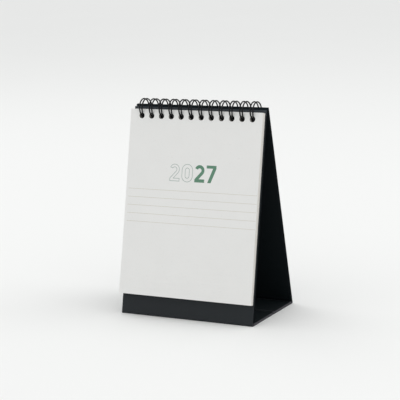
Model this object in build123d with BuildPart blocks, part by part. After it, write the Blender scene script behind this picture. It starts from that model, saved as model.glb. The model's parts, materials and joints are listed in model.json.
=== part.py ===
"""Desk calendar: a pad of sheets on a twin-loop wire, standing on a folding A-frame of wrapped board."""

from build123d import *
from math import asin, cos, radians, sin, sqrt, tan
import os

# Driving dimensions, in millimetres and degrees
lean = 12.25  # of each tall panel from upright
panel_width = 111  # of the sheets too
front_height = 158.7  # up the slope, from the table
back_overhang = 1.5  # of the back panel's top past the front one's, up the slope
board_thickness = 1.8
wrap_thickness = 0.2
panel_gap = 0.3  # between the tall panels' inner faces, level with the front one's top

crease_thickness = 0.4
crease_radius = 0.6
crease_rise = 0.3  # of the base's middle crease, which stands a little proud
crease_drop = 0.2  # from the base's top face to the middle crease's edges
corner_reach = 3.0  # from a foot's corner to the tall panel's end, up the slope
foot_reach = 2.0  # from a foot's corner to the base panel's end
base_slit = 1.6  # between the two base panels
fold_clearance = 0.1  # between a crease and the panel that turns on it

sheet_foot = 15.6  # from the table to a sheet's lower edge, up the slope
sheet_thickness = 0.25
sheet_gap = 0.05
pad_gap = 0.15  # from the front panel to the last sheet
month_count = 12

hole_pitch = 25.4 / 3
hole_inset = 6.0  # from a side edge to the first hole's centre, at least
hole_diameter = 4.2
hole_sides = 5  # of the holes that the cover sheet hides
cover_hole_sides = 8
sheet_margin = 5.0  # from a sheet's top edge to its holes' centres
front_margin = 7.0  # the same on the front panel

wire_diameter = 0.9
wire_sides = 4
wire_play = 0.12  # from the wire to the lower rim of the front panel's holes
loop_radius = 7.1  # to the wire's centre
loop_setback = 0.8  # of the loop's centre behind the front panel's face
strand_gap_low = 1.9  # between a pair's centres at the bottom of the loop
strand_gap_high = 2.4
root_angle = 92  # round the loop from straight down, by way of the back
tip_angle = 62
root_bend = 1.2

# Sizes that follow
panel_thickness = board_thickness + wrap_thickness
slope_sin = sin(radians(lean))
slope_cos = cos(radians(lean))
back_height = front_height + back_overhang
base_depth = 2 * front_height * slope_sin + 2 * panel_thickness / slope_cos + panel_gap
foot = base_depth / 2  # the frame's origin lies under the middle crease

hole_radius = hole_diameter / 2
wire_radius = wire_diameter / 2
hole_count = int((panel_width - 2 * hole_inset) / hole_pitch) + 1
first_hole = -hole_pitch * (hole_count - 1) / 2

front_plane = Plane(origin=(0, -foot, 0), x_dir=(1, 0, 0), z_dir=(0, -slope_cos, slope_sin))
back_plane = Plane(origin=(0, foot, 0), x_dir=(-1, 0, 0), z_dir=(0, slope_cos, slope_sin))


def below_centre(setback):
    """How far the wire runs below the loop's centre, this far in front of it or behind it."""
    return sqrt(loop_radius**2 - setback**2)


# The wire lies on the lower rims of the front panel's holes, and the sheets hang squared up on the wire
front_hole = front_height - front_margin
rim_reach = hole_radius - wire_radius - wire_play
wire_seat = sqrt(rim_reach**2 - (strand_gap_low / 2) ** 2)
loop_height = front_hole - wire_seat + below_centre(loop_setback)
loop_centre = front_plane.from_local_coords(Vector(0, loop_height, -loop_setback))

sheet_count = month_count + 1
sheet_pitch = sheet_thickness + sheet_gap
pad_front = pad_gap + sheet_count * sheet_pitch - sheet_gap
sheet_drop = (below_centre(loop_setback + pad_front) + below_centre(loop_setback + pad_gap)) / 2
sheet_hole = loop_height - sheet_drop
sheet_top = sheet_hole + sheet_margin
sheet_height = sheet_top - sheet_foot

centre_on_back = back_plane.to_local_coords(loop_centre)
back_setback = -centre_on_back.Z - panel_thickness / 2
back_hole = centre_on_back.Y - below_centre(back_setback)

pieces = []


def finish(part, label):
    """Labels a finished piece and keeps it for export."""
    part.label = label
    pieces.append(part)


def punched_sheet(plane, top, height, hole_at, thickness, sides):
    """A flat sheet on the plane, punched for the wire, with its top edge and holes this far up the slope."""
    with BuildPart() as sheet:
        with BuildSketch(plane):
            with Locations((0, top - height / 2)):
                Rectangle(panel_width, height)
            with Locations((0, hole_at)):
                with GridLocations(hole_pitch, 0, hole_count, 1):
                    RegularPolygon(hole_radius, sides, major_radius=False, mode=Mode.SUBTRACT)
        extrude(amount=thickness)
    return sheet.part


def base_sheet(near, far, floor, thickness):
    """A flat rectangle of the base, from near to far along the depth."""
    with BuildPart() as sheet:
        with BuildSketch(Plane.XY.offset(floor)):
            with Locations((0, (near + far) / 2)):
                Rectangle(panel_width, far - near)
        extrude(amount=thickness)
    return sheet.part


# The two tall panels: greyboard, with the covering paper on the outer face
for name, plane, height, hole_at in (
    ("front", front_plane, front_height, front_hole),
    ("back", back_plane, back_height, back_hole),
):
    panel = (height, height - corner_reach, hole_at)
    core = punched_sheet(plane.offset(-panel_thickness), *panel, board_thickness, hole_sides)
    wrap = punched_sheet(plane.offset(-wrap_thickness), *panel, wrap_thickness, hole_sides)
    finish(core, f"{name}_board")
    finish(wrap, f"{name}_wrap")

# The two base panels, with the paper underneath
base_ends = {
    "base_front": (-foot + foot_reach, -base_slit / 2),
    "base_rear": (base_slit / 2, foot - foot_reach),
}
for name, (near, far) in base_ends.items():
    finish(base_sheet(near, far, wrap_thickness, board_thickness), f"{name}_board")
    finish(base_sheet(near, far, 0, wrap_thickness), f"{name}_wrap")


# The creases, where the paper alone turns from panel to panel
def foot_crease(slope_end, flat_end, side):
    """The paper round a foot's corner: side is -1 at the front and 1 at the back."""
    half = crease_thickness / 2
    corner = foot - half * (1 + slope_sin) / slope_cos
    top = (foot - slope_end * slope_sin - half * slope_cos, slope_end * slope_cos - half * slope_sin)
    with BuildPart() as crease:
        with BuildSketch(Plane.YZ):
            with BuildLine():
                FilletPolyline(
                    (side * top[0], top[1]),
                    (side * corner, half),
                    (side * (foot - flat_end), half),
                    radius=crease_radius,
                )
            trace(line_width=crease_thickness)
        extrude(amount=panel_width / 2, both=True)
    return crease.part


finish(foot_crease(corner_reach, foot_reach - fold_clearance, -1), "front_crease")
finish(foot_crease(corner_reach - fold_clearance, foot_reach, 1), "rear_crease")

with BuildPart() as base_crease:
    with BuildSketch(Plane.YZ):
        under = panel_thickness - crease_drop - crease_thickness
        near, far = -base_slit / 2, base_slit / 2 - fold_clearance
        with BuildLine():
            lower = ThreePointArc((near, under), (0, under + crease_rise), (far, under))
            far_end = Line((far, under), (far, under + crease_thickness))
            upper = ThreePointArc(far_end @ 1, (0, under + crease_rise + crease_thickness),
                                  (near, under + crease_thickness))
            Line(upper @ 1, lower @ 0)
        make_face()
    extrude(amount=panel_width / 2, both=True)
finish(base_crease.part, "base_crease")

# The pad: the cover sheet in front, and a sheet for each month behind it
for number in range(sheet_count):
    lift = pad_front - sheet_thickness - number * sheet_pitch
    sides = hole_sides if number else cover_hole_sides
    sheet = punched_sheet(
        front_plane.offset(lift), sheet_top, sheet_height, sheet_hole, sheet_thickness, sides
    )
    finish(sheet, f"month_sheet_{number:02d}" if number else "cover_sheet")

# The twin-loop wire: one unbroken wire of narrow fingers, bent round until the tips meet the roots
half_low, half_high = strand_gap_low / 2, strand_gap_high / 2
half_mid = (half_low + half_high) / 2
splay = asin((half_high - half_low) / (2 * loop_radius))


def on_loop(finger_x, side, angle):
    """A point on a finger's left (-1) or right (1) strand, round the loop from straight down."""
    rise = -loop_radius * cos(radians(angle))
    across = finger_x + side * (half_mid + rise * sin(splay))
    return loop_centre + Vector(across, loop_radius * sin(radians(angle)), rise * cos(splay))


def along_loop(angle):
    """The direction in which a strand runs at this angle, seen from the side."""
    return Vector(0, cos(radians(angle)), sin(radians(angle))).normalized()


def root_corner(start, side, heading, spread):
    """A root's quarter turn, from a strand's end to the run across: its middle and its end."""
    outward = Vector(side, 0, 0)
    to_start = (outward * cos(spread) + heading * sin(spread)) * -1
    centre = start - to_start * root_bend
    return centre + (to_start + heading).normalized() * root_bend, centre + heading * root_bend


tip_turn = 360 + tip_angle
bend_angle = (root_angle + tip_turn) / 2
tip_spread = asin(sin(radians(tip_angle)) * sin(splay))
root_spread = asin(sin(radians(root_angle)) * sin(splay))
root_heading = along_loop(root_angle) * -1

with BuildPart() as binding_wire:
    with BuildLine() as route:
        for number in range(hole_count):
            finger_x = first_hole + number * hole_pitch
            left, right = (
                [on_loop(finger_x, side, angle) for angle in (root_angle, bend_angle, tip_turn)]
                for side in (-1, 1)
            )
            up_left = on_loop(finger_x, -1, (root_angle + bend_angle) / 2)
            down_left = on_loop(finger_x, -1, (bend_angle + tip_turn) / 2)
            down_right = on_loop(finger_x, 1, (bend_angle + tip_turn) / 2)
            up_right = on_loop(finger_x, 1, (root_angle + bend_angle) / 2)
            half_tip = (right[2] - left[2]).length / 2
            tip_rise = half_tip * tan(radians(45) + tip_spread / 2)
            tip = (left[2] + right[2]) * 0.5 + along_loop(tip_turn) * tip_rise
            ThreePointArc(left[0], up_left, left[1])
            ThreePointArc(left[1], down_left, left[2])
            ThreePointArc(left[2], tip, right[2])
            ThreePointArc(right[2], down_right, right[1])
            ThreePointArc(right[1], up_right, right[0])
            if number < hole_count - 1:
                next_left = on_loop(finger_x + hole_pitch, -1, root_angle)
                out_middle, out_end = root_corner(right[0], 1, root_heading, root_spread)
                in_middle, in_end = root_corner(next_left, -1, root_heading, root_spread)
                ThreePointArc(right[0], out_middle, out_end)
                Line(out_end, in_end)
                ThreePointArc(in_end, in_middle, next_left)
    wire_route = route.wire()
    with BuildSketch(Plane(origin=wire_route @ 0, z_dir=wire_route % 0)) as section:
        RegularPolygon(wire_radius, wire_sides)
    sweep(path=wire_route)
finish(binding_wire.part, "binding_wire")

# The wire's least gap to itself, measured on points along it
samples_per_finger = 240
near_samples = 24  # neighbours along the wire, not across a gap
sample_count = samples_per_finger * hole_count
route_points = [wire_route @ (i / sample_count) for i in range(sample_count + 1)]
reach = 2 * samples_per_finger
least_gap = min(
    (route_points[j] - route_points[i]).length
    for i in range(0, reach)
    for j in range(i + near_samples, reach)
) - wire_diameter
print(f"least gap of the wire to itself: {least_gap:.2f} mm")
swept = section.sketch.area * wire_route.length
print(f"wire volume over section times length: {binding_wire.part.volume / swept:.4f}")

os.makedirs("parts", exist_ok=True)
for piece in pieces:
    export_step(piece, f"parts/{piece.label}.step")
print(f"base depth {base_depth:.2f}, loop centre {loop_centre.Y:.3f} {loop_centre.Z:.3f}, {len(pieces)} pieces")
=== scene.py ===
# %% [markdown]
# # A desk calendar on a folding stand
# A pad of sheets hangs on a black twin-loop wire. The same wire holds the two tall panels of the stand
# together at the top, and two base panels join their feet. The panels are board covered in black paper. The
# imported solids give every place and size, so this script dresses them: it makes paper, board, wire and
# print where the solids are.

# %% Load the frame
import bmesh
import bpy
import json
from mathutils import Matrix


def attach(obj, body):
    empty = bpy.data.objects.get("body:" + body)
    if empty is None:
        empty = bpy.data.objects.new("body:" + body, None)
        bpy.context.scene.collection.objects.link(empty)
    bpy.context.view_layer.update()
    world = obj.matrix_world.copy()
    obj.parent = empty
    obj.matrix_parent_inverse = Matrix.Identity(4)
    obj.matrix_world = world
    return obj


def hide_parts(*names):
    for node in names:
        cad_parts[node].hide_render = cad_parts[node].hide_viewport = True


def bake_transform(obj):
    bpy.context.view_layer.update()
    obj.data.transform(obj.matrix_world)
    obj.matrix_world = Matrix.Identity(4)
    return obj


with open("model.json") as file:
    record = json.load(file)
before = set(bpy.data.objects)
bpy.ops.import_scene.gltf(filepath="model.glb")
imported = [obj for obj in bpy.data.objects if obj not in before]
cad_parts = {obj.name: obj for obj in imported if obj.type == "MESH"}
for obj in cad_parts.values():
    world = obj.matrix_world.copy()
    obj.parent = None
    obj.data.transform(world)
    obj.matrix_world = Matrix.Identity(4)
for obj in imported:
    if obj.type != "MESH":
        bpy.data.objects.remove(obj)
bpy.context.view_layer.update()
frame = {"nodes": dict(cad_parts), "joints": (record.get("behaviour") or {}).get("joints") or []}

import calendar
import json
import math
import random
from mathutils import Matrix, Vector

joints = {joint["name"]: joint for joint in frame["joints"]}
print(f"frame: {len(frame['nodes'])} nodes, {len(joints)} joints")

# %% [markdown]
# ## The planes that the panels lie in
# Both tall panels lean by the same angle, so almost every piece is flat work on a slope. It is easiest to
# make each piece flat, on the ground, and to carry it to its slope at the end. A plane here is a matrix
# whose columns point across a panel, up it and out of it. The joints already say where the planes are: the
# stand closes by twice its lean, and the base turns on the front panel's foot.

# %% Planes and measures
MM = 0.001
lean = math.radians(joints["stand_fold"]["range_deg"][1] / 2)
foot = -joints["base_front_fold"]["pos_m"][1]
loop_centre = Vector(joints["cover_sheet_turn"]["pos_m"])


def plane(origin, across, out):
    """Axes across a panel, up it and out of it, from a point on its face."""
    across, out = Vector(across), Vector(out)
    axes = Matrix((across, out.cross(across), out)).transposed().to_4x4()
    axes.translation = origin
    return axes


front_plane = plane((0, -foot, 0), (1, 0, 0), (0, -math.cos(lean), math.sin(lean)))
back_plane = plane((0, foot, 0), (-1, 0, 0), (0, math.cos(lean), math.sin(lean)))
base_plane = plane((0, 0, 0), (1, 0, 0), (0, 0, 1))


def extent(node, axes):
    """A node's lowest and highest corners, measured along a plane's own axes."""
    points = [axes.inverted() @ vertex.co for vertex in frame["nodes"][node].data.vertices]
    return [Vector(pick(p[i] for p in points) for i in range(3)) for pick in (min, max)]


front_low, front_high = extent("front_wrap", front_plane)
half_width = front_high.x
print(f"lean {math.degrees(lean):.2f} degrees, front panel {front_high.x - front_low.x:.4f} m wide")

# %% [markdown]
# ## Node trees from sums
# Shaders and Geometry Nodes are both node trees, and both are easier to read as sums than as lists of
# links. One small class wraps an output socket and lets Python's operators add Math nodes. The other adds
# any node: first its settings, then a value or a link for each socket. A shape is a tree of Geometry Nodes.
# It runs once and only its plain mesh is kept, so no modifier is left on a piece.

# %% A socket that can be used in a sum
class Socket:
    """An output of a node, which can be used in a sum."""

    def __init__(self, graph, socket):
        self.graph = graph
        self.socket = socket

    def maths(self, operation, first, second):
        """A Math node on two values or sockets."""
        return self.graph.node("ShaderNodeMath", {"operation": operation}, {0: first, 1: second})

    def __add__(self, other):
        return self.maths("ADD", self, other)

    def __radd__(self, other):
        return self.maths("ADD", other, self)

    def __sub__(self, other):
        return self.maths("SUBTRACT", self, other)

    def __rsub__(self, other):
        return self.maths("SUBTRACT", other, self)

    def __mul__(self, other):
        return self.maths("MULTIPLY", self, other)

    def __rmul__(self, other):
        return self.maths("MULTIPLY", other, self)


# %% A graph that adds nodes
class Graph:
    """A node tree that is being built."""

    def __init__(self, tree):
        self.tree = tree

    def node(self, kind, settings=None, sockets=None, output=0):
        """Adds a node with its settings, feeds its sockets, and returns one of its outputs."""
        made = self.tree.nodes.new(kind)
        for name, value in (settings or {}).items():
            setattr(made, name, value)
        for key, value in (sockets or {}).items():
            self.feed(made.inputs[key], value)
        return Socket(self, made.outputs[output])

    def feed(self, target, value):
        """Links a socket, or each of a list of sockets, to a node's input, or sets a plain value there."""
        if isinstance(value, list):
            for one in value:
                self.feed(target, one)
        elif isinstance(value, Socket):
            self.tree.links.new(value.socket, target)
        else:
            target.default_value = value


# %% A tree that makes a mesh
WELD = 0.0005 * MM  # points this near are one point


def linked(name, data):
    """A new object in the scene that holds this data."""
    made = bpy.data.objects.new(name, data)
    bpy.context.scene.collection.objects.link(made)
    return made


class Shape(Graph):
    """A Geometry Nodes tree with named inputs, which ends in one mesh with one material."""

    KINDS = {float: "NodeSocketFloat", int: "NodeSocketInt"}

    def __init__(self, name, **inputs):
        super().__init__(bpy.data.node_groups.new(name, "GeometryNodeTree"))
        face = self.tree.interface
        face.new_socket("Geometry", in_out="OUTPUT", socket_type="NodeSocketGeometry")
        face.new_socket("Geometry", in_out="INPUT", socket_type="NodeSocketGeometry")
        for label, kind in inputs.items():
            face.new_socket(label, in_out="INPUT", socket_type=self.KINDS[kind])
        face.new_socket("finish", in_out="INPUT", socket_type="NodeSocketMaterial")
        source = self.tree.nodes.new("NodeGroupInput")
        self.given = {socket.name: Socket(self, socket) for socket in source.outputs if socket.name}

    def end(self, geometry):
        """Finishes the tree: real meshes, then their material."""
        real = self.node("GeometryNodeRealizeInstances", {}, {"Geometry": geometry})
        done = self.node("GeometryNodeSetMaterial", {}, {"Geometry": real, "Material": self.given["finish"]})
        self.feed(self.tree.nodes.new("NodeGroupOutput").inputs["Geometry"], done)

    def thicken(self, face, thickness):
        """A flat face made into a closed plate."""
        walls = self.node(
            "GeometryNodeExtrudeMesh", {}, {"Mesh": face, "Offset Scale": thickness, "Individual": False}
        )
        under = self.node("GeometryNodeFlipFaces", {}, {"Mesh": face})
        both = self.node("GeometryNodeJoinGeometry", {}, {"Geometry": [walls, under]})
        return self.node("GeometryNodeMergeByDistance", {}, {"Geometry": both, "Distance": WELD})

    def run(self, name, finish, source=None, **sizes):
        """The tree's result for these sizes, as a plain mesh with no modifier left."""
        carrier = linked(name, source or bpy.data.meshes.new(name))
        modifier = carrier.modifiers.new("shape", "NODES")
        modifier.node_group = self.tree
        for item in self.tree.interface.items_tree:
            if item.in_out == "INPUT" and item.name in sizes:
                modifier[item.identifier] = sizes[item.name]
            elif item.in_out == "INPUT" and item.name == "finish":
                modifier[item.identifier] = finish
        ready = carrier.evaluated_get(bpy.context.evaluated_depsgraph_get())
        mesh = bpy.data.meshes.new_from_object(ready)
        bpy.data.objects.remove(carrier)
        mesh.name = name
        mesh.materials.clear()
        mesh.materials.append(finish)
        mesh.polygons.foreach_set("material_index", [0] * len(mesh.polygons))
        return mesh


# %% A piece of the object
def piece(mesh, body, node):
    """Makes a mesh a piece of the object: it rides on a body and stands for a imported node."""
    made = linked(mesh.name, mesh)
    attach(made, body)
    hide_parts(node)


# %% [markdown]
# ## Finishes
# Nothing here is shiny or coloured for its own sake: white paper, cream paper, black paper, dark board and
# black enamelled wire. What makes them real is small. Uncoated paper is a felt of fibres, so its colour
# drifts and its surface is never smooth. Black covering paper has a fine grain and goes grey where it is
# handled, along its sides; a paler band along the panels' tops is painted light, and so is the grey of the
# base's cut edges, while the tall panels' near-black cut edges, the darker inner faces and the holes' walls
# are painted shade. Cut board shows its layers. Scanned pictures could give all that, but noise needs no
# file and has no seams. It is laid out on Object coordinates, in metres, so a scale of 2000 means specks of
# about half a millimetre.

# %% A finish is a graph round one Principled surface
class Finish(Graph):
    """A material that is being made."""

    def __init__(self, name, **fixed):
        self.material = bpy.data.materials.new(name)
        self.material.use_nodes = True
        super().__init__(self.material.node_tree)
        self.tree.nodes.clear()
        self.surface = self.tree.nodes.new("ShaderNodeBsdfPrincipled")
        ends = self.tree.nodes.new("ShaderNodeOutputMaterial")
        self.tree.links.new(self.surface.outputs["BSDF"], ends.inputs["Surface"])
        self.place = self.node("ShaderNodeTexCoord", output="Object")
        for label, value in fixed.items():
            self.give(label.replace("_", " "), value)

    def give(self, label, value):
        """Sets or links one of the surface's inputs."""
        self.feed(self.surface.inputs[label], value)

    def noise(self, scale, detail, stretch=(1, 1, 1), turn=0.0):
        """Noise with this many specks a metre, stretched along the axes after a turn about X."""
        mapped = self.node(
            "ShaderNodeMapping", {}, {"Vector": self.place, "Rotation": (turn, 0, 0), "Scale": stretch}
        )
        return self.node("ShaderNodeTexNoise", {}, {"Vector": mapped, "Scale": scale, "Detail": detail})

    def felt(self):
        """The fibres of paper, which also show through ink."""
        return self.noise(2600, 5.0, stretch=(1.0, 0.45, 0.45))

    def between(self, value, low, high):
        """0 up to low, 1 from high on, and even between them."""
        return self.node("ShaderNodeMapRange", {}, {"Value": value, "From Min": low, "From Max": high})

    def mix(self, share, first, second):
        """From the first colour to the second."""
        return self.node("ShaderNodeMix", {"data_type": "RGBA"}, {0: share, 6: first, 7: second}, 2)

    def bump(self, height, depth):
        """Raises the surface by up to depth, in metres."""
        self.give("Normal", self.node("ShaderNodeBump", {}, {"Height": height, "Distance": depth}))

    def along(self, axis):
        """How far a point lies along an axis."""
        return self.node("ShaderNodeSeparateXYZ", {}, {"Vector": self.place}, axis)

    def near_sides(self, reach):
        """1 at the stand's left and right edges, and 0 this far inside them."""
        out = self.node("ShaderNodeMath", {"operation": "ABSOLUTE"}, {0: self.along("X")})
        return self.between(out, half_width - reach, half_width)


def colour(red, green, blue):
    """An opaque colour."""
    return (red, green, blue, 1.0)


def times(factor, shade):
    """A colour made darker or lighter."""
    return colour(*(factor * part for part in shade[:3]))


# %% Papers
panel_top = (front_plane @ front_high).z
SIDE_WEAR = 1.2 * MM  # width of the worn strips along the sides
TOP_PAINTED_LIGHT = (4.0 * MM, 2.0 * MM)  # below the panels' tops: where the painted light starts, and where it is full


def uncoated_paper(name, light, dark):
    """Matt paper: a drifting colour, a felt of fibres, and a faint bump."""
    paper = Finish(name, Specular_IOR_Level=0.25)
    drift = paper.noise(60, 2.0)
    felt = paper.felt()
    specks = paper.between(paper.noise(900, 6.0), 0.62, 0.75)
    tone = drift * 0.5 + felt * 0.5
    sheet = paper.mix(paper.between(tone, 0.32, 0.68), light, dark)
    paper.give("Base Color", paper.mix(specks * 0.35, sheet, times(0.82, dark)))
    paper.give("Roughness", 0.78 + felt * 0.18)
    paper.bump(felt + drift * 0.4, 0.012 * MM)
    return paper.material


def covering_paper(name, deep, paler, shine):
    """Black covering paper: fine grain, worn grey at the sides, paler at the tops as painted light."""
    paper = Finish(name, Specular_IOR_Level=shine)
    grain = paper.noise(3200, 4.0)
    weave = paper.noise(1500, 2.0, stretch=(1.0, 3.0, 3.0))
    sides = paper.near_sides(SIDE_WEAR) * paper.between(paper.noise(260, 3.0), 0.45, 0.7)
    # Paler towards the panels' tops: painted light, where light from above falls on them.
    top = paper.between(paper.along("Z"), *(panel_top - drop for drop in TOP_PAINTED_LIGHT))
    tone = paper.between(grain * 0.6 + weave * 0.4, 0.35, 0.65)
    # The sides' grey is wear; the tops' grey is painted light.
    paper.give("Base Color", paper.mix(sides * 0.6 + top, paper.mix(tone, deep, paler), times(2.2, paler)))
    paper.give("Roughness", 0.52 + tone * 0.2)
    paper.bump(grain * 0.7 + weave * 0.3, 0.04 * MM)
    return paper.material


# %% Board, wire and ink
def cut_board(name, turn, dark, light):
    """The cut edge of dark board: thin layers along the edge, broken by fibres."""
    board = Finish(name, Specular_IOR_Level=0.0)
    layers = board.noise(900, 4.0, stretch=(0.05, 4.0, 0.05), turn=turn)
    fibres = board.noise(2400, 4.0)
    tone = board.between(layers * 0.65 + fibres * 0.35, 0.35, 0.65)
    board.give("Base Color", board.mix(tone, dark, light))
    board.give("Roughness", 0.75 + fibres * 0.2)
    board.bump(tone, 0.05 * MM)
    return board.material


def enamelled_wire(name):
    """Black enamel on steel: smooth, with a slight orange peel and dull patches."""
    wire = Finish(name, Specular_IOR_Level=0.2)
    peel = wire.noise(1800, 2.0)
    dull = wire.between(wire.noise(420, 3.0), 0.4, 0.7)
    wire.give("Base Color", wire.mix(dull, colour(0.004, 0.004, 0.005), colour(0.009, 0.009, 0.010)))
    wire.give("Roughness", 0.36 + dull * 0.2)
    wire.bump(peel, 0.004 * MM)
    return wire.material


def ink(name, shade):
    """Printing ink that lets a little of the paper's felt through."""
    film = Finish(name, Specular_IOR_Level=0.3)
    felt = film.felt()
    film.give("Base Color", film.mix(film.between(felt, 0.35, 0.7), shade, times(1.18, shade)))
    film.give("Roughness", 0.6 + felt * 0.2)
    film.bump(felt, 0.006 * MM)
    return film.material


# %% The calendar's finishes
cover_paper = uncoated_paper("cover paper", colour(0.822, 0.823, 0.810), colour(0.800, 0.802, 0.788))
month_paper = uncoated_paper("cream paper", colour(0.82, 0.803, 0.765), colour(0.77, 0.752, 0.712))
# Dark paper for the holes' walls: painted shade.
hole_shade_paper = uncoated_paper("rubbed paper", colour(0.17, 0.16, 0.145), colour(0.09, 0.085, 0.075))
black_paper = covering_paper(
    "black covering paper", colour(0.008, 0.011, 0.013), colour(0.016, 0.020, 0.024), shine=0.3
)
# The panels' inner faces: a darker copy of the black paper, as painted shade.
inner_shade_paper = covering_paper(
    "black lining paper", colour(0.001, 0.003, 0.004), colour(0.004, 0.008, 0.010), shine=0.2
)
# Cut edges of one board: near black on the tall panels as painted shade, grey on the base as painted light.
shaded_cut_colours = (colour(0.003, 0.004, 0.005), colour(0.010, 0.012, 0.013))
lit_cut_colours = (colour(0.050, 0.048, 0.054), colour(0.102, 0.098, 0.109))
front_cut = cut_board("cut edge, front panel", -lean, *shaded_cut_colours)
back_cut = cut_board("cut edge, back panel", lean, *shaded_cut_colours)
base_cut = cut_board("cut edge, base", math.radians(90), *lit_cut_colours)
black_wire = enamelled_wire("black enamel")
green_ink = ink("green ink", colour(0.112, 0.232, 0.160))
pale_ink = ink("pale green ink", colour(0.33, 0.40, 0.37))
rule_ink = ink("beige ink", colour(0.56, 0.53, 0.46))
print(f"materials, with the packed solids' own: {len(bpy.data.materials)}")

# %% [markdown]
# ## Punched sheets
# Sheets and panels are the same idea: a rectangle with a row of round holes. They could be cut with
# booleans, but filling a set of curves is cleaner, because a curve inside another becomes a hole by itself.
# One tree draws the outline, sets a circle at each hole, fills what is left and gives it a thickness.

# %% The punched plate's tree
HOLE_PITCH = 25.4 / 3 * MM
HOLE_RADIUS = 2.25 * MM
HOLE_COUNT = 12
HOLE_POINTS = 36
CORNER_POINTS = 5


def punched_plate_tree():
    """A rectangle with rounded corners and a row of holes near its top, made into a plate."""
    tree = Shape(
        "punched plate", width=float, height=float, thickness=float, corner=float,
        hole_shift=float, hole_drop=float, hole_count=int,
    )
    given = tree.given
    outline = tree.node(
        "GeometryNodeCurvePrimitiveQuadrilateral", {}, {"Width": given["width"], "Height": given["height"]}
    )
    rounded = tree.node(
        "GeometryNodeFilletCurve",
        {"mode": "POLY"},
        {"Curve": outline, "Count": CORNER_POINTS, "Radius": given["corner"], "Limit Radius": True},
    )
    circle = tree.node(
        "GeometryNodeCurvePrimitiveCircle", {}, {"Resolution": HOLE_POINTS, "Radius": HOLE_RADIUS}
    )
    first_x = given["hole_shift"] + (1 - given["hole_count"]) * (HOLE_PITCH / 2)
    hole_y = given["height"] * 0.5 - given["hole_drop"]
    row = tree.node(
        "GeometryNodeMeshLine",
        {"mode": "OFFSET"},
        {
            "Count": given["hole_count"],
            "Start Location": tree.node("ShaderNodeCombineXYZ", {}, {"X": first_x, "Y": hole_y}),
            "Offset": (HOLE_PITCH, 0, 0),
        },
    )
    holes = tree.node("GeometryNodeInstanceOnPoints", {}, {"Points": row, "Instance": circle})
    drawn = tree.node(
        "GeometryNodeRealizeInstances",
        {},
        {"Geometry": tree.node("GeometryNodeJoinGeometry", {}, {"Geometry": [rounded, holes]})},
    )
    face = tree.node("GeometryNodeFillCurve", {"mode": "NGONS"}, {"Curve": drawn})
    tree.end(tree.thicken(face, given["thickness"]))
    return tree


punched_plate = punched_plate_tree()
print(f"punched plate: {len(punched_plate.tree.nodes)} nodes, {HOLE_COUNT} holes")


# %% A plate in a node's place
def plate(name, node, axes, finish, corner, hole_drop, hole_count):
    """A plate of a node's own size, flat round its own centre, and the move that takes it to its place."""
    low, high = extent(node, axes)
    size = high - low
    mesh = punched_plate.run(
        name, finish, width=size.x, height=size.y, thickness=size.z,
        corner=corner, hole_shift=0.0, hole_drop=hole_drop, hole_count=hole_count,
    )
    middle = (low + high) / 2
    return mesh, axes @ Matrix.Translation((middle.x, middle.y, low.z))


# %% [markdown]
# ## The pad
# A pad's sheets are never quite flat or quite level. The wire holds them apart at the top, and they sink
# together towards the foot, where they lie on the panel. They are also jogged together by hand and punched
# a little off their middle. A sheet bends about lines across it, so it only needs cuts across it and stays
# a true bent sheet. Each sheet sinks a little less than the one in front of it, so none runs into the next.
# The lower left corner curls up again.

# %% How the sheets settle
SHEET_MARGIN = 5.0 * MM  # from a sheet's top edge to its holes' centres
SHEET_CORNER = 0.4 * MM
PAPER = 0.19 * MM
FOOT_PITCH = 0.245 * MM  # from sheet to sheet at the foot
FOOT_GAP = 0.10 * MM  # behind the last sheet, at the foot
LEFT_LIFT = 1.9 * MM  # how far the cover's lower left corner curls up
SETTLE_BEND, LIFT_BEND = 3.4, 5.0  # how near the foot the sheets sink and curl
PUNCHED_OFF = 0.85 * MM  # how far the pad lies to the left of its holes
SETTLE_CUTS = 28
JOG = 0.07 * MM  # how unevenly the sheets are squared up

month_names = sorted(name for name in frame["nodes"] if name.startswith("month_sheet"))
sheet_names = ["cover_sheet", *month_names]
sheet_low, sheet_high = extent("cover_sheet", front_plane)
sheet_size = sheet_high - sheet_low
hole_up = sheet_high.y - SHEET_MARGIN


def paper_face(across, up, number):
    """How far a sheet's front face lies from the panel at a point on it: the cover is number 0."""
    depth = 1 - number / len(sheet_names)
    top = sheet_high.z * depth
    foot_face = FOOT_GAP + PAPER + (len(sheet_names) - 1 - number) * FOOT_PITCH
    share = max(0.0, (hole_up - up) / (hole_up - sheet_low.y))
    left = (1 - across / half_width) / 2
    return top + (foot_face - top) * share**SETTLE_BEND + LEFT_LIFT * depth * left * share**LIFT_BEND


foot_thickness = paper_face(half_width, sheet_low.y, 0)
print(f"pad: {sheet_high.z / MM:.2f} mm thick at the top, {foot_thickness / MM:.2f} mm at the lower right")


# %% The sheets
def cut_across(mesh, lines):
    """Cuts a flat mesh along lines across it, so that it can bend there."""
    work = bmesh.new()
    work.from_mesh(mesh)
    for y in lines:
        everything = work.verts[:] + work.edges[:] + work.faces[:]
        bmesh.ops.bisect_plane(work, geom=everything, dist=WELD, plane_co=(0, y, 0), plane_no=(0, 1, 0))
    work.to_mesh(mesh)
    work.free()


def rub_holes(mesh):
    """Gives the walls of a flat sheet's holes a dark paper colour: painted shade inside the holes."""
    mesh.materials.append(hole_shade_paper)
    row = sheet_size.y / 2 - SHEET_MARGIN
    for face in mesh.polygons:
        in_row = abs(face.center.y - row) < HOLE_RADIUS
        off_edge = abs(face.center.x) < sheet_size.x / 2 - HOLE_RADIUS
        face.material_index = 1 if in_row and off_edge and abs(face.normal.z) < 0.5 else 0


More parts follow.
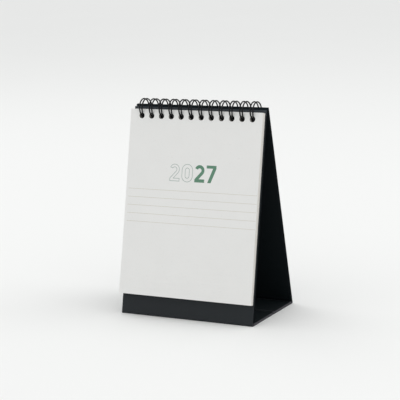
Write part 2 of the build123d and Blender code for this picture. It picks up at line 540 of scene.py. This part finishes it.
random.seed(27)
below_holes = sheet_size.y - SHEET_MARGIN - 2 * HOLE_RADIUS
cut_lines = [i * below_holes / SETTLE_CUTS - sheet_size.y / 2 for i in range(1, SETTLE_CUTS + 1)]
middle = (sheet_low + sheet_high) / 2
for number, node in enumerate(sheet_names):
    mesh = punched_plate.run(
        node.replace("sheet", "paper"), month_paper if number else cover_paper,
        width=sheet_size.x, height=sheet_size.y, thickness=PAPER, corner=SHEET_CORNER,
        hole_shift=PUNCHED_OFF, hole_drop=SHEET_MARGIN, hole_count=HOLE_COUNT,
    )
    cut_across(mesh, cut_lines)
    # painted shade on the holes' walls
    rub_holes(mesh)
    shift = Vector((random.uniform(-JOG, JOG), random.uniform(-JOG, JOG), 0)) if number else Vector()
    for vertex in mesh.vertices:
        vertex.co += Vector((middle.x - PUNCHED_OFF, middle.y, 0)) + shift
        vertex.co.z += paper_face(vertex.co.x, vertex.co.y, number) - PAPER
    mesh.transform(front_plane)
    piece(mesh, node, node)
print(f"sheets: {len(sheet_names)}")

# %% [markdown]
# ## The print on the cover
# The cover has the year in four plain numerals, two outlined and two solid, and five thin rules below them.
# Ink is a film, but a film in the same plane as the paper would flicker with it, so it is a plate a few
# hundredths of a millimetre thick, half sunk in the paper. The numerals are drawn as a sign painter would:
# arcs and straight strokes of one width. A tree fills the closed lines, and the print bends as the cover
# does.

# %% Three numerals as closed lines
NUMERAL_HEIGHT = 13.0 * MM
NUMERAL_FOOT = 103.0 * MM  # up the slope, from the table
STROKE = 2.45 * MM
ARC_STEP = math.radians(6)


def arc(centre, radius, start, end):
    """Points on an arc, from one angle in degrees to another, with both ends."""
    start, end = math.radians(start), math.radians(end)
    steps = max(2, round(abs(end - start) / ARC_STEP))
    turns = [start + (end - start) * i / steps for i in range(steps + 1)]
    return [Vector((centre[0] + radius * math.cos(a), centre[1] + radius * math.sin(a))) for a in turns]


def two(width, height):
    """A round bowl that runs straight down into a flat foot."""
    opening = 158  # degrees, where the bowl ends
    outer = width / 2 - 0.1 * MM
    inner = outer - STROKE
    centre = Vector((width / 2 - 0.2 * MM, height - outer))
    heel = Vector((0, STROKE * 0.92))
    reach = (centre - heel).length
    slope = math.atan2(centre.y - heel.y, centre.x - heel.x) - math.asin(inner / reach)
    along = Vector((math.cos(slope), math.sin(slope)))
    leave = math.degrees(slope) - 90
    outside = arc(centre, outer, leave, opening)
    inside = arc(centre, inner, opening, leave)
    drop = (outside[0].y - STROKE) / along.y
    crotch = outside[0] - along * drop
    foot_line = [Vector((0, 0)), Vector((width, 0)), Vector((width, STROKE))]
    return [[*foot_line, crotch, *outside, *inside, heel]]


def nought(width, height):
    """Two half circles joined by straight sides, and the same inside."""
    lines = []
    for inset in (0, STROKE * 1.12):
        radius = width / 2 - inset
        low, high = width / 2, height - width / 2
        lines.append(arc((width / 2, high), radius, 0, 180) + arc((width / 2, low), radius, 180, 360))
    return lines


def seven(width, height):
    """A bar with a straight leg."""
    bar = STROKE * 0.9
    heel, toe = 1.15 * MM, 3.95 * MM
    knee = width - 2.75 * MM
    return [[
        Vector((0, height)), Vector((0, height - bar)), Vector((knee, height - bar)), Vector((heel, 0)),
        Vector((toe, 0)), Vector((width, height - bar * 1.1)), Vector((width, height)),
    ]]


# %% Outlined and solid numerals
OUTLINE = 0.42 * MM  # width of the outlined numerals' line
SHARPEST_MITRE = 0.4  # cosine of half the turn at which a corner stops growing


def widened(line, distance):
    """A closed line moved sideways by a distance, with mitred corners."""
    moved = []
    for i, point in enumerate(line):
        before = (point - line[i - 1]).normalized()
        after = (line[(i + 1) % len(line)] - point).normalized()
        sideways = [Vector((d.y, -d.x)) for d in (before, after)]
        mitre = (sideways[0] + sideways[1]).normalized()
        moved.append(point + mitre * (distance / max(SHARPEST_MITRE, mitre.dot(sideways[0]))))
    return moved


def outlined(lines):
    """Each closed line as a thin band, with its outer edge on the line."""
    return [widened(line, side) for line in lines for side in (0.0, -OUTLINE)]


# Each numeral's left edge, width and overshoot above and below the line, in millimetres
numerals = (
    ("outline", pale_ink, ((two, -19.3, 8.4, 0.0), (nought, -9.2, 9.3, 0.3))),
    ("solid", green_ink, ((two, 1.8, 8.3, 0.0), (seven, 11.55, 8.1, 0.0))),
)
print(f"numerals: {sum(len(glyphs) for _, _, glyphs in numerals)}, {NUMERAL_HEIGHT / MM:.0f} mm tall")


# %% Trees for print
def printed_shape_tree():
    """Closed lines, filled and made into a thin plate."""
    tree = Shape("printed shape", thickness=float)
    line = tree.node("GeometryNodeMeshToCurve", {}, {"Mesh": tree.given["Geometry"]})
    face = tree.node("GeometryNodeFillCurve", {"mode": "NGONS"}, {"Curve": line})
    tree.end(tree.thicken(face, tree.given["thickness"]))
    return tree


def rules_tree():
    """A stack of thin bars, each cut across so that it can bend."""
    tree = Shape("rules", length=float, line=float, pitch=float, count=int, cuts=int, thickness=float)
    given = tree.given
    bar = tree.node(
        "GeometryNodeMeshGrid",
        {},
        {
            "Size X": given["length"],
            "Size Y": given["line"],
            "Vertices X": given["cuts"] + 2,
            "Vertices Y": 2,
        },
    )
    down = tree.node("ShaderNodeCombineXYZ", {}, {"Y": given["pitch"] * -1})
    rows = tree.node("GeometryNodeMeshLine", {"mode": "OFFSET"}, {"Count": given["count"], "Offset": down})
    bars = tree.node("GeometryNodeInstanceOnPoints", {}, {"Points": rows, "Instance": bar})
    real = tree.node("GeometryNodeRealizeInstances", {}, {"Geometry": bars})
    tree.end(tree.thicken(real, given["thickness"]))
    return tree


printed_shape = printed_shape_tree()
rules = rules_tree()
print(f"print: {len(printed_shape.tree.nodes)} nodes for shapes, {len(rules.tree.nodes)} for rules")


# %% Ink that bends with the paper
INK = 0.03 * MM  # thickness of the film


def closed_lines(name, lines):
    """Closed lines as the edges of a mesh."""
    points, edges = [], []
    for line in lines:
        start = len(points)
        points += [(p.x, p.y, 0) for p in line]
        edges += [(start + i, start + (i + 1) % len(line)) for i in range(len(line))]
    mesh = bpy.data.meshes.new(name)
    mesh.from_pydata(points, edges, [])
    return mesh


def print_on(number, mesh, up):
    """Bends print with a sheet and lays it on the paper, with its zero line this far up the slope."""
    for vertex in mesh.vertices:
        vertex.co.y += up
        vertex.co.z += paper_face(vertex.co.x, vertex.co.y, number) - INK / 2
    mesh.transform(front_plane)
    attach(linked(mesh.name, mesh), sheet_names[number])


# %% The year and the rules
for style, finish, glyphs in numerals:
    lines = []
    for draw, left, width, overshoot in glyphs:
        drawn = draw(width * MM, NUMERAL_HEIGHT + 2 * overshoot * MM)
        move = Vector((left * MM, -overshoot * MM))
        shown = outlined(drawn) if style == "outline" else drawn
        lines += [[point + move for point in line] for line in shown]
    mesh = printed_shape.run(f"year_{style}", finish, closed_lines(f"year_{style}", lines), thickness=INK)
    print_on(0, mesh, NUMERAL_FOOT)

RULE_COUNT = 5
RULE_TOP = 95.8 * MM  # up the slope, from the table
RULE_PITCH = 6.19 * MM
RULE_LINE = 0.26 * MM
RULE_INSET = 1.2 * MM  # from the cover's side edges
mesh = rules.run(
    "cover_rules", rule_ink, length=2 * (half_width - RULE_INSET), line=RULE_LINE,
    pitch=RULE_PITCH, count=RULE_COUNT, cuts=0, thickness=INK,
)
print_on(0, mesh, RULE_TOP)
print(f"cover: {len(numerals)} pieces of print and {RULE_COUNT} rules")

# %% [markdown]
# ## The month sheets' print
# The month sheets only show when the pad is turned. Each has its month's number, a grid of seven columns
# and the days' numbers, which Python's calendar sets out. The grid is the same tree of rules, once across
# and once turned upright. The numbers come from Blender's own font: each of the ten digits is made a mesh
# once and copied to its places.

# %% Digits
CURVE_STEPS = 3
DIGIT_GAP = 0.12  # of a digit's height


def digit_shapes(size):
    """Each digit's points and faces, as a thin plate that starts at its lower left corner."""
    shapes = {}
    for digit in "0123456789":
        text = bpy.data.curves.new(digit, "FONT")
        text.body = digit
        text.size = size
        text.resolution_u = CURVE_STEPS
        text.extrude = INK / 2
        carrier = linked(digit, text)
        ready = carrier.evaluated_get(bpy.context.evaluated_depsgraph_get())
        mesh = bpy.data.meshes.new_from_object(ready)
        points = [vertex.co + Vector((0, 0, INK / 2)) for vertex in mesh.vertices]
        shapes[digit] = points, [tuple(face.vertices) for face in mesh.polygons]
        bpy.data.objects.remove(carrier)
    return shapes


def set_numbers(name, numbers, finish):
    """One mesh of many numbers, each given as its value, its digits and its lower left corner."""
    points, faces = [], []
    for value, shapes, x, y in numbers:
        for digit in str(value):
            corners, sides = shapes[digit]
            start = len(points)
            points += [corner + Vector((x, y, 0)) for corner in corners]
            faces += [tuple(start + i for i in side) for side in sides]
            x += max(corner.x for corner in corners) + DIGIT_GAP * max(corner.y for corner in corners)
    mesh = bpy.data.meshes.new(name)
    mesh.from_pydata(points, [], faces)
    mesh.materials.append(finish)
    return mesh


# %% Twelve printed months
YEAR = 2027
COLUMN, ROW = 14.6 * MM, 15.2 * MM
COLUMN_COUNT, ROW_COUNT = 7, 6
GRID_TOP = 119.0 * MM  # up the slope, from the table
GRID_LEFT = -COLUMN * COLUMN_COUNT / 2 - PUNCHED_OFF
GRID_LINE = 0.22 * MM
GRID_CUTS = 24  # along an upright rule, so that it bends with the sheet
DAY_INSET, DAY_DROP = 1.3 * MM, 0.32 * ROW  # to a number's lower left, from its cell's upper left corner
MONTH_RISE = 6.0 * MM  # of the month's number above the grid
SUNDAY = 6
day_digits = digit_shapes(4.2 * MM)
month_digits = digit_shapes(17.0 * MM)
day_ink = ink("grey ink", colour(0.09, 0.10, 0.10))
weeks = calendar.Calendar(firstweekday=SUNDAY)
for number in range(1, len(sheet_names)):
    days = [
        (day, day_digits, GRID_LEFT + column * COLUMN + DAY_INSET, -row * ROW - DAY_DROP)
        for row, week in enumerate(weeks.monthdayscalendar(YEAR, number))
        for column, day in enumerate(week)
        if day
    ]
    print_on(number, set_numbers(f"days_{number:02d}", days, day_ink), GRID_TOP)
    month = [(number, month_digits, GRID_LEFT, MONTH_RISE)]
    print_on(number, set_numbers(f"month_number_{number:02d}", month, green_ink), GRID_TOP)
    across = rules.run(
        f"weeks_{number:02d}", rule_ink, length=COLUMN_COUNT * COLUMN, line=GRID_LINE,
        pitch=ROW, count=ROW_COUNT + 1, cuts=0, thickness=INK,
    )
    across.transform(Matrix.Translation((-PUNCHED_OFF, 0, 0)))
    print_on(number, across, GRID_TOP)
    upright = rules.run(
        f"columns_{number:02d}", rule_ink, length=ROW_COUNT * ROW, line=GRID_LINE,
        pitch=COLUMN, count=COLUMN_COUNT + 1, cuts=GRID_CUTS, thickness=INK,
    )
    turned = Matrix.Rotation(math.radians(90), 4, "Z")
    upright.transform(Matrix.Translation((GRID_LEFT, -ROW_COUNT * ROW / 2, 0)) @ turned)
    print_on(number, upright, GRID_TOP)
print(f"months: {len(month_names)}, with {len(days)} days in the last")

# %% [markdown]
# ## The stand's panels
# Each panel is board with black paper on both faces, trimmed flush, so its cut edges show the dark board
# between two thin black lines. The board is one plate and the outer paper another. A small bevel takes the
# knife edge off, because no real edge is perfectly sharp and a bevel is what catches the light.

# %% Softened edges
SHARP = math.radians(40)  # edges that turn by more are bevelled


def bevelled(mesh, width, cut_finish):
    """Softens a plate's edges and gives its cut sides their own finish."""
    mesh.materials.append(cut_finish)
    work = bmesh.new()
    work.from_mesh(mesh)
    for face in work.faces:
        face.material_index = 0 if abs(face.normal.z) > 0.5 else 1
    sharp = [edge for edge in work.edges if edge.calc_face_angle(0) > SHARP]
    bmesh.ops.bevel(
        work, geom=sharp, offset=width, segments=2, profile=0.5, affect="EDGES", clamp_overlap=True
    )
    work.to_mesh(mesh)
    work.free()


# %% Panels
LOOP_RADIUS = 7.15 * MM  # to the wire's centre
FRONT_MARGIN = 7.0 * MM  # from the front panel's top to its holes' centres
BOARD_BEVEL = 0.16 * MM
PAPER_BEVEL = 0.06 * MM
PANEL_CORNER = 0.2 * MM

centre_on_back = back_plane.inverted() @ loop_centre
back_low, back_high = extent("back_board", back_plane)
back_setback = centre_on_back.z - (back_low.z + back_high.z) / 2
back_margin = back_high.y - centre_on_back.y + math.sqrt(LOOP_RADIUS**2 - back_setback**2)

panels = (
    ("front", "stand_front", front_plane, front_cut, FRONT_MARGIN, HOLE_COUNT),
    ("back", "stand_back", back_plane, back_cut, back_margin, HOLE_COUNT),
    ("base_front", "base_front", base_plane, base_cut, 0.0, 0),
    ("base_rear", "base_rear", base_plane, base_cut, 0.0, 0),
)
for side, body, axes, cut_finish, margin, count in panels:
    layers = (
        # the board's faces, seen inside the stand, take the darker paper: painted shade
        ("board", inner_shade_paper, cut_finish, BOARD_BEVEL),
        ("wrap", black_paper, black_paper, PAPER_BEVEL),
    )
    for part, face_finish, side_finish, bevel in layers:
        node = f"{side}_{part}"
        mesh, to_place = plate(f"{side}_panel_{part}", node, axes, face_finish, PANEL_CORNER, margin, count)
        bevelled(mesh, bevel, side_finish)
        mesh.transform(to_place)
        piece(mesh, body, node)
print(f"panels: {len(panels)}, back holes {back_margin / MM:.2f} mm below the top")

# %% [markdown]
# ## The creases
# Between two panels the covering paper turns alone, so the crease is a band of doubled paper with a soft
# bend. It is the one part of the stand that really changes shape; the front and middle creases are made in
# place, on no body. The rear one stays with the base.

# %% A band of paper
CREASE = 0.4 * MM  # thickness of the doubled paper


def band(name, line):
    """A band of paper across the stand, along a line seen from the side."""
    sides = []
    for sign in (1, -1):
        for i, point in enumerate(line):
            ahead = line[min(i + 1, len(line) - 1)] - line[max(i - 1, 0)]
            normal = Vector((-ahead.y, ahead.x)).normalized()
            sides.append(point + normal * (sign * CREASE / 2))
    count = len(line)
    points = [(x, p.x, p.y) for x in (-half_width, half_width) for p in sides]
    around = [*range(count), *range(2 * count - 1, count - 1, -1)]
    far = 2 * count
    faces = [(a, b, b + far, a + far) for a, b in zip(around, around[1:] + around[:1])]
    for i in range(count - 1):
        faces.append((i, i + 1, count + i + 1, count + i))
        faces.append((far + i + 1, far + i, far + count + i, far + count + i + 1))
    mesh = bpy.data.meshes.new(name)
    mesh.from_pydata(points, [], faces)
    mesh.materials.append(black_paper)
    mesh.materials.append(base_cut)
    work = bmesh.new()
    work.from_mesh(mesh)
    bmesh.ops.recalc_face_normals(work, faces=work.faces)
    # The band's ends take the base's cut-edge finish, whose grey is painted light.
    for face in work.faces:
        face.material_index = 1 if abs(face.normal.x) > 0.5 else 0
    work.to_mesh(mesh)
    work.free()
    return mesh


# %% The creases' lines, seen from the side
CREASE_BEND = 9  # points round a bend
FOLD_RADIUS = 0.6 * MM
RIDGE = 1.3 * MM  # height of the middle crease's bow


def rounded_corner(start, corner, end, radius):
    """A line from start to end that turns at a corner along an arc."""
    before, after = (start - corner).normalized(), (end - corner).normalized()
    half = before.angle(after) / 2
    centre = corner + (before + after).normalized() * (radius / math.sin(half))
    first = corner + before * (radius / math.tan(half)) - centre
    last = corner + after * (radius / math.tan(half)) - centre
    turn = first.angle_signed(last)
    bend = [centre + Matrix.Rotation(-turn * i / (CREASE_BEND - 1), 2) @ first for i in range(CREASE_BEND)]
    return [start, *bend, end]


def foot_crease(node, axes, side):
    """The paper's line round a foot, from slope to base: side is -1 at the front and 1 at the back."""
    half = CREASE / 2
    low, high = extent(node, base_plane)
    top = axes @ Vector((0, extent(node, axes)[1].y, -half))
    corner = side * (foot - half * (1 + math.sin(lean)) / math.cos(lean))
    flat = high.y if side < 0 else low.y
    return rounded_corner(Vector((top.y, top.z)), Vector((corner, half)), Vector((flat, half)), FOLD_RADIUS)


def raised_crease(node):
    """The line of a crease that bows up between two panels."""
    low, high = extent(node, base_plane)
    middle, reach = (low.y + high.y) / 2, (high.y - low.y) / 2
    steps = [i / (CREASE_BEND - 1) * 2 - 1 for i in range(CREASE_BEND)]
    return [Vector((middle + t * reach, low.z + CREASE / 2 + RIDGE * (1 - t * t))) for t in steps]


# %% Three creases
def bending_crease(node, line):
    """A crease band made in place, on no body."""
    made = linked(f"{node}_paper", band(f"{node}_paper", line))
    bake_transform(made)
    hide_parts(node)


bending_crease("front_crease", foot_crease("front_crease", front_plane, -1))
bending_crease("base_crease", raised_crease("base_crease"))
rear_line = foot_crease("rear_crease", back_plane, 1)
piece(band("rear_crease_paper", rear_line), "base_rear", "rear_crease")
print(f"creases: 3, the rear one from {rear_line[0].y / MM:.2f} mm above the table")

# %% [markdown]
# ## The twin-loop wire
# This is one unbroken wire. It runs along behind the back panel, turns up, goes over the top as one strand
# of a finger, comes down through the sheets and panels, makes a hairpin behind and returns as the other
# strand. The two strands lie close together where they pass the holes and spread towards the top. The loops
# were pressed shut, so they aren't true circles but stand forward a little. It could be drawn by hand as a
# curve, but twelve equal fingers are easier to keep equal in a loop: it gives a route of points, and
# Geometry Nodes sweep a round section along it.

# %% A strand of the wire
ROOT_ANGLE, TIP_ANGLE = 92, 360 + 62  # round the loop from straight down, by way of the back and the top
WIDE, NARROW = 1.18 * MM, 0.84 * MM  # half the distance between a finger's strands
NARROW_FROM, NARROW_TO = 215, 335  # degrees, over which a finger narrows
BULGE = 0.6 * MM  # how far the loops stand forward of a true circle
BULGE_FROM, BULGE_FULL, BULGE_TO = 110, 185, 335  # degrees


def eased(value, start, end):
    """0 before start, 1 after end and a smooth step between them."""
    share = min(1.0, max(0.0, (value - start) / (end - start)))
    return share * share * (3 - 2 * share)


def strand(finger_x, side, angle):
    """A point on a finger's left (-1) or right (1) strand."""
    half = WIDE + (NARROW - WIDE) * eased(angle, NARROW_FROM, NARROW_TO)
    forward = BULGE * eased(angle, BULGE_FROM, BULGE_FULL) * (1 - eased(angle, BULGE_FULL, BULGE_TO))
    turn = math.radians(angle)
    rise = -LOOP_RADIUS * math.cos(turn)
    return loop_centre + Vector((finger_x + side * half, LOOP_RADIUS * math.sin(turn) - forward, rise))


def along_loop(angle):
    """The direction in which a strand runs at this angle."""
    return Vector((0, math.cos(math.radians(angle)), math.sin(math.radians(angle))))


# %% The wire's route
ROOT_BEND = 1.2 * MM  # radius of the bends from a finger's root to the next one's
STRAND_STEPS, BEND_STEPS = 60, 10


def quarter(centre, radius, ahead, start, end):
    """Points on an arc between two angles: 0 lies towards +X and 90 straight ahead."""
    turns = [math.radians(start + (end - start) * i / BEND_STEPS) for i in range(BEND_STEPS + 1)]
    return [centre + radius * (Vector((math.cos(a), 0, 0)) + ahead * math.sin(a)) for a in turns]


def wire_route():
    """The whole wire, from the first finger's root to the last one's."""
    angles = [ROOT_ANGLE + (TIP_ANGLE - ROOT_ANGLE) * i / STRAND_STEPS for i in range(STRAND_STEPS + 1)]
    back_down = along_loop(ROOT_ANGLE) * -1
    bend = Vector((ROOT_BEND, 0, 0))
    points = []
    for number in range(HOLE_COUNT):
        finger_x = (number - (HOLE_COUNT - 1) / 2) * HOLE_PITCH
        left = [strand(finger_x, -1, angle) for angle in angles]
        right = [strand(finger_x, 1, angle) for angle in angles]
        if number:
            points += quarter(left[0] - bend, ROOT_BEND, back_down, 90, 0)[:-1]
        points += left
        points += quarter((left[-1] + right[-1]) / 2, NARROW, along_loop(TIP_ANGLE), 180, 0)[1:-1]
        points += right[::-1]
        if number < HOLE_COUNT - 1:
            points += quarter(right[0] + bend, ROOT_BEND, back_down, 180, 90)[1:]
    return points


route = wire_route()
length = sum((b - a).length for a, b in zip(route, route[1:]))
print(f"wire: {length:.3f} m of it")


# %% The swept wire
WIRE_RADIUS = 0.52 * MM
WIRE_SIDES = 12


def wire_tree():
    """A line of edges swept into a round, smooth wire with closed ends."""
    tree = Shape("swept wire", radius=float, sides=int)
    given = tree.given
    line = tree.node("GeometryNodeMeshToCurve", {}, {"Mesh": given["Geometry"]})
    ring = tree.node(
        "GeometryNodeCurvePrimitiveCircle", {}, {"Resolution": given["sides"], "Radius": given["radius"]}
    )
    tube = tree.node(
        "GeometryNodeCurveToMesh", {}, {"Curve": line, "Profile Curve": ring, "Fill Caps": True}
    )
    tree.end(tree.node("GeometryNodeSetShadeSmooth", {}, {"Geometry": tube}))
    return tree


route_mesh = bpy.data.meshes.new("wire_route")
route_mesh.from_pydata(route, [(i, i + 1) for i in range(len(route) - 1)], [])
wire = wire_tree().run("twin_loop_wire", black_wire, route_mesh, radius=WIRE_RADIUS, sides=WIRE_SIDES)
piece(wire, "stand_front", "binding_wire")
print(f"wire: {len(wire.polygons)} faces")

# %% [markdown]
# ## The table and the light
# The object stands on a plain pale table that reaches past the picture's edges. A few strong lamps could
# light it, but their shadows would be hard, and the photograph hardly has any. So most of the light comes
# from a pale sky that is brighter overhead, and one large lamp on each side lightens the shadows there. The
# table is staging, so it isn't part of the object.

# %% The table
FLOOR_HALF = 12.0
FLOOR_DROP = 0.05 * MM  # just clear of the base's underside


def table():
    """One square, with a very slight drift in its colour."""
    mesh = bpy.data.meshes.new("table")
    corners = [(x * FLOOR_HALF, y * FLOOR_HALF, -FLOOR_DROP) for x, y in ((-1, -1), (1, -1), (1, 1), (-1, 1))]
    mesh.from_pydata(corners, [], [(0, 1, 2, 3)])
    top = Finish("pale table", Specular_IOR_Level=0.1, Roughness=0.9)
    top.give("Base Color", top.mix(top.noise(3, 2.0), colour(0.83, 0.838, 0.83), colour(0.84, 0.848, 0.84)))
    mesh.materials.append(top.material)
    linked("table", mesh)


table()
print(f"table: {2 * FLOOR_HALF:.0f} m square")

# %% The sky and two lamps
HORIZON, ZENITH = 0.72, 1.07  # the sky's strength, all round and overhead
SOFTBOXES = (  # places and watts
    ("left_softbox", (-1.1, 0.3, 1.3), 3.2),
    ("right_softbox", (1.3, 0.4, 1.3), 5.2),
)
SOFTBOX_SIZE = 1.4
LIT_POINT = Vector((0, 0, 0.08))


def pale_sky():
    """A white sky that grows brighter from the horizon up."""
    world = bpy.data.worlds.new("pale studio")
    world.use_nodes = True
    sky = Graph(world.node_tree)
    direction = sky.node("ShaderNodeTexCoord", output="Generated")
    height = sky.node("ShaderNodeSeparateXYZ", {}, {"Vector": direction}, "Z")
    background = world.node_tree.nodes["Background"]
    background.inputs["Color"].default_value = colour(1.0, 1.0, 1.0)
    sky.feed(background.inputs["Strength"], HORIZON + (ZENITH - HORIZON) * height)
    bpy.context.scene.world = world


def softbox(name, place, energy):
    """A large round lamp that faces the object."""
    lamp = bpy.data.lights.new(name, "AREA")
    lamp.shape = "DISK"
    lamp.size = SOFTBOX_SIZE
    lamp.energy = energy
    facing = (LIT_POINT - Vector(place)).to_track_quat("-Z", "Y").to_matrix().to_4x4()
    linked(name, lamp).matrix_world = Matrix.Translation(place) @ facing


pale_sky()
for setting in SOFTBOXES:
    softbox(*setting)
bpy.context.scene.view_settings.view_transform = "Standard"
print(f"light: a sky and {len(SOFTBOXES)} lamps")

# %% [markdown]
# ## The camera
# The photograph was taken from the right, a little above the top of the stand, with a long lens and the
# camera rolled by about two degrees. A Track To constraint could aim it, but can't roll it, so its matrix
# is written out. A camera looks along its own -Z, and the matrix needs three columns: right, up and
# backwards.

# %% Camera
YAW, ELEVATION, ROLL = (math.radians(angle) for angle in (28.12, 10.97, -2.06))
DISTANCE = 1.0909
SENSOR, FOCAL = 36.0, 130.1  # millimetres
AIM = Vector((-0.00023, -0.00587, 0.08567))
backwards = Vector((
    math.cos(ELEVATION) * math.sin(YAW), -math.cos(ELEVATION) * math.cos(YAW), math.sin(ELEVATION)
))
level = Vector((math.cos(YAW), math.sin(YAW), 0))
upright = backwards.cross(level)
rolled_right = level * math.cos(ROLL) + upright * math.sin(ROLL)
rolled_up = upright * math.cos(ROLL) - level * math.sin(ROLL)
lens = bpy.data.cameras.new("camera")
lens.sensor_width = SENSOR
lens.lens = FOCAL
camera = linked("camera", lens)
camera.matrix_world = Matrix((rolled_right, rolled_up, backwards)).transposed().to_4x4()
camera.matrix_world.translation = AIM + backwards * DISTANCE
bpy.context.scene.camera = camera
print(f"camera: {DISTANCE:.2f} m away")
